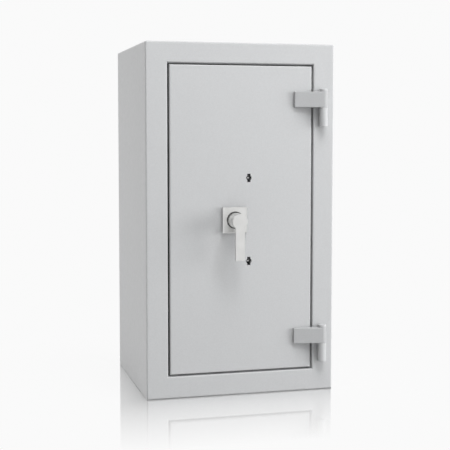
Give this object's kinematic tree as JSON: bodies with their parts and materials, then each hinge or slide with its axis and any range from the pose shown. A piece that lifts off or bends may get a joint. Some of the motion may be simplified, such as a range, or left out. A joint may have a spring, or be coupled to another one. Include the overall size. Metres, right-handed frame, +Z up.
{
  "type": "fireproof safe",
  "caption": "Free-standing fire-resisting steel safe with an outside-hinged door, lever handle, keyholes, sliding bolts and inner shelves.",
  "frame": {"origin": "middle of the base, on the plane that the safe stands on", "axes": "+Z up, +Y from the door into the safe, +X to the right as seen from the front"},
  "size_m": [0.66, 0.65, 1.2],
  "materials": {
    "body_paint": "fine-textured light grey powder coat",
    "liner_paint": "satin light grey paint",
    "hinge_paint": "fine-textured light grey powder coat",
    "handle_silver": "matte silver",
    "zinc_steel": "zinc plated",
    "bright_steel": "turned",
    "cast": "as cast",
    "brass": "plain",
    "fill": "rough mineral filling",
    "seal": "matte"
  },
  "bodies": {
    "cabinet": {"outer_wrap": "body_paint", "base_plate": "body_paint", "back_plate": "body_paint", "front_frame": "body_paint", "door_jamb": "body_paint", "upper_hinge_barrel": "body_paint", "lower_hinge_barrel": "body_paint", "upper_hinge_pin": "body_paint", "lower_hinge_pin": "body_paint", "inner_liner": "liner_paint", "lower_shelf": "liner_paint", "upper_shelf": "liner_paint", "cabinet_fill": "fill", "frame_seal": "seal", "anchor_sleeves": "zinc_steel", "shelf_rail_1": "zinc_steel", "shelf_rail_2": "zinc_steel", "shelf_rail_3": "zinc_steel", "shelf_rail_4": "zinc_steel", "shelf_clips": "zinc_steel", "hinge_washers": "bright_steel"},
    "door": {"door_plate": "body_paint", "door_pan": "body_paint", "boltwork_tray": "body_paint", "boltwork_cover": "body_paint", "hinge_caps": "body_paint", "upper_hinge_leaf": "hinge_paint", "lower_hinge_leaf": "hinge_paint", "door_fill": "fill", "fire_strip": "seal", "drill_plate": "bright_steel", "fixed_dogs": "bright_steel", "key_guides": "zinc_steel", "cover_posts": "zinc_steel", "cover_screws": "zinc_steel", "rod_guides": "zinc_steel", "lock_covers": "zinc_steel", "lock_screws": "zinc_steel", "handle_rosette": "handle_silver", "spindle_bush": "brass", "lock_levers": "brass", "upper_lock_case": "cast", "lower_lock_case": "cast"},
    "handle": {"lever_handle": "handle_silver", "spindle": "zinc_steel", "drive_cam": "zinc_steel", "cam_pins": "bright_steel", "grub_screw": "bright_steel"},
    "side_boltwork": {"bolt_bar": "zinc_steel", "drive_link": "zinc_steel", "side_bolts": "bright_steel"},
    "top_boltwork": {"top_rod": "zinc_steel", "top_bolts": "bright_steel"},
    "bottom_boltwork": {"bottom_rod": "zinc_steel", "bottom_bolts": "bright_steel"},
    "upper_drum": {"upper_key_drum": "bright_steel"},
    "lower_drum": {"lower_key_drum": "bright_steel"},
    "upper_catch": {"upper_lock_bolt": "bright_steel"},
    "lower_catch": {"lower_lock_bolt": "bright_steel"}
  },
  "joints": [
    {"name": "door_swing", "type": "hinge", "parent": "cabinet", "child": "door", "pos_m": [0.287, -0.3005, 0.6025], "axis": [0, 0, 1], "range_deg": [0, 180]},
    {"name": "handle_turn", "type": "hinge", "parent": "door", "child": "handle", "pos_m": [-0.026, -0.285, 0.6025], "axis": [0, 1, 0], "range_deg": [0, 90]},
    {"name": "side_bolts_slide", "type": "slide", "parent": "door", "child": "side_boltwork", "axis": [-1, 0, 0], "range_m": [0, 0.03112]},
    {"name": "top_bolts_slide", "type": "slide", "parent": "door", "child": "top_boltwork", "axis": [0, 0, 1], "range_m": [0, 0.03112]},
    {"name": "bottom_bolts_slide", "type": "slide", "parent": "door", "child": "bottom_boltwork", "axis": [0, 0, -1], "range_m": [0, 0.03112]},
    {"name": "upper_key_turn", "type": "hinge", "parent": "door", "child": "upper_drum", "pos_m": [0.026, -0.21, 0.7445], "axis": [0, 1, 0], "range_deg": [0, 90]},
    {"name": "lower_key_turn", "type": "hinge", "parent": "door", "child": "lower_drum", "pos_m": [0.026, -0.21, 0.4605], "axis": [0, -1, 0], "range_deg": [0, 90]},
    {"name": "upper_lock_slide", "type": "slide", "parent": "door", "child": "upper_catch", "axis": [0, 0, -1], "range_m": [0, 0.01415]},
    {"name": "lower_lock_slide", "type": "slide", "parent": "door", "child": "lower_catch", "axis": [0, 0, 1], "range_m": [0, 0.01415]}
  ],
  "couplings": [
    {"joint": "side_bolts_slide", "follows": "handle_turn", "m_per_rad": 0.019807},
    {"joint": "top_bolts_slide", "follows": "handle_turn", "m_per_rad": 0.019807},
    {"joint": "bottom_bolts_slide", "follows": "handle_turn", "m_per_rad": 0.019807},
    {"joint": "upper_lock_slide", "follows": "upper_key_turn", "m_per_rad": 0.0090032},
    {"joint": "lower_lock_slide", "follows": "lower_key_turn", "m_per_rad": 0.0090032}
  ]
}
